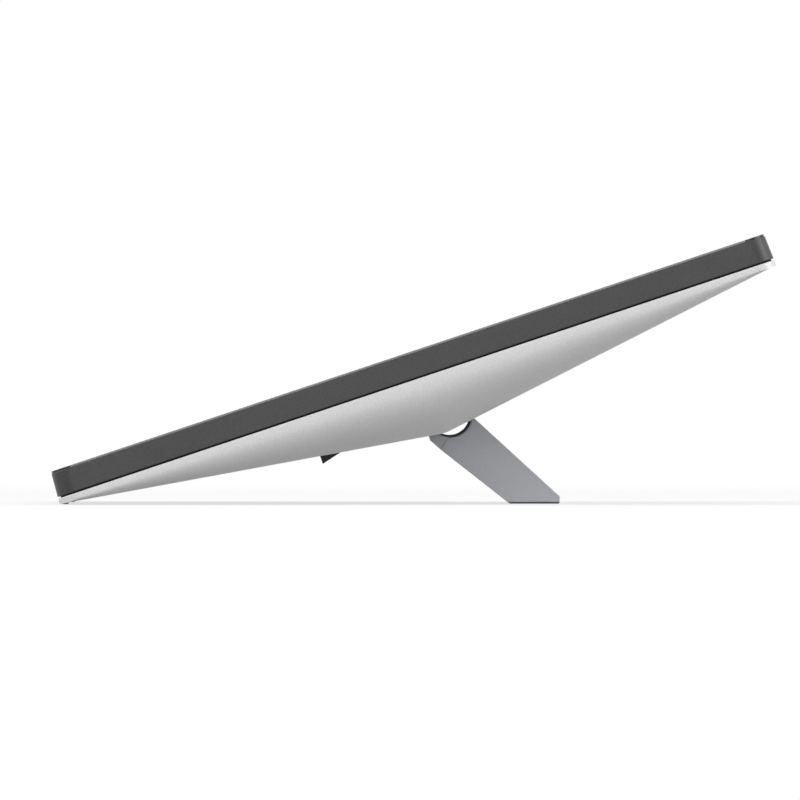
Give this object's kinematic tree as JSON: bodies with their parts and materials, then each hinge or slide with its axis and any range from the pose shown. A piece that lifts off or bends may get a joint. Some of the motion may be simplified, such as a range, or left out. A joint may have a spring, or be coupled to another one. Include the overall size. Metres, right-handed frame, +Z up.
{
  "type": "all in one pc",
  "caption": "Flat touch computer that reclines on a hinged rear leg, with a ridged silver back and a dark edge band.",
  "frame": {"origin": "middle of the footprint on the surface that it stands on, under the centre of the box", "axes": "+X to the right of a person facing the screen, +Y away from that person, +Z up"},
  "size_m": [0.53, 0.3315, 0.1238],
  "materials": {
    "glass": "polished cover glass",
    "black_print": "black print behind the glass",
    "foam": "black foam",
    "screen": "dark unlit display",
    "dark_band": "fine textured dark grey",
    "gap_black": "matte black",
    "steel": "plain sheet steel",
    "black_plastic": "moulded black plastic",
    "lens": "lens",
    "silver_shell": "fine silver grey paint",
    "port_steel": "plated steel",
    "circuit_board": "green solder mask",
    "screw_steel": "turned steel",
    "mesh_black": "black mesh",
    "brass": "turned brass",
    "chip": "moulded chip package",
    "copper": "drawn copper",
    "cable_film": "amber film",
    "fin_aluminium": "thin fins",
    "rail_grey": "fine textured grey paint",
    "leg_metal": "blue-grey satin metal",
    "rubber": "black rubber",
    "liner_black": "smooth black liner"
  },
  "bodies": {
    "screen_unit": {"cover_glass": "glass", "bezel_mask": "black_print", "panel_gasket": "foam", "lcd_panel": "screen", "chassis_plate": "steel", "shadow_gap_ring": "gap_black", "webcam_module": "black_plastic", "webcam_lens": "lens", "leg_bay": "black_plastic", "io_bay": "black_plastic", "usb_ports": "port_steel", "video_port": "port_steel", "ethernet_port": "port_steel", "audio_jack": "black_plastic", "dc_inlet": "black_plastic", "io_board": "circuit_board", "rear_shell": "silver_shell", "shell_screws": "screw_steel", "vent_meshes": "mesh_black", "main_board": "circuit_board", "board_standoffs": "brass", "processor": "chip", "heat_spreader": "copper", "memory_modules": "circuit_board", "wifi_card": "circuit_board", "storage_drive": "steel", "speaker_left": "black_plastic", "speaker_right": "black_plastic", "display_cable": "cable_film", "fan_housing": "black_plastic", "heat_sink": "fin_aluminium", "heat_pipe": "copper", "switch_board": "circuit_board", "front_frame": "dark_band", "hinge_bracket_left": "steel", "hinge_pin_left": "screw_steel", "hinge_bracket_right": "steel", "hinge_pin_right": "screw_steel", "friction_washers": "screw_steel", "leg_rest_pads": "rubber", "edge_feet": "rubber"},
    "fan": {"fan_rotor": "black_plastic"},
    "power_key": {"power_button": "dark_band"},
    "volume_up": {"volume_up_key": "dark_band"},
    "volume_down": {"volume_down_key": "dark_band"},
    "leg": {"hinge_rail": "rail_grey", "leg_core": "leg_metal", "leg_skin": "leg_metal", "leg_foot": "rubber", "arc_liner": "liner_black"}
  },
  "joints": [
    {"name": "leg_hinge", "type": "hinge", "parent": "screen_unit", "child": "leg", "pos_m": [0, 0.01677, 0.04086], "axis": [1, 0, 0], "range_deg": [0, 62]},
    {"name": "fan_spin", "type": "hinge", "parent": "screen_unit", "child": "fan", "pos_m": [-0.168, 0.04124, 0.06641], "axis": [0, -0.3165, 0.9486], "continuous": true},
    {"name": "power_press", "type": "slide", "parent": "screen_unit", "child": "power_key", "axis": [1, 0, 0], "range_m": [0, 0.0008], "stiffness_N_per_m": 600},
    {"name": "volume_up_press", "type": "slide", "parent": "screen_unit", "child": "volume_up", "axis": [1, 0, 0], "range_m": [0, 0.0008], "stiffness_N_per_m": 600},
    {"name": "volume_down_press", "type": "slide", "parent": "screen_unit", "child": "volume_down", "axis": [1, 0, 0], "range_m": [0, 0.0008], "stiffness_N_per_m": 600}
  ]
}
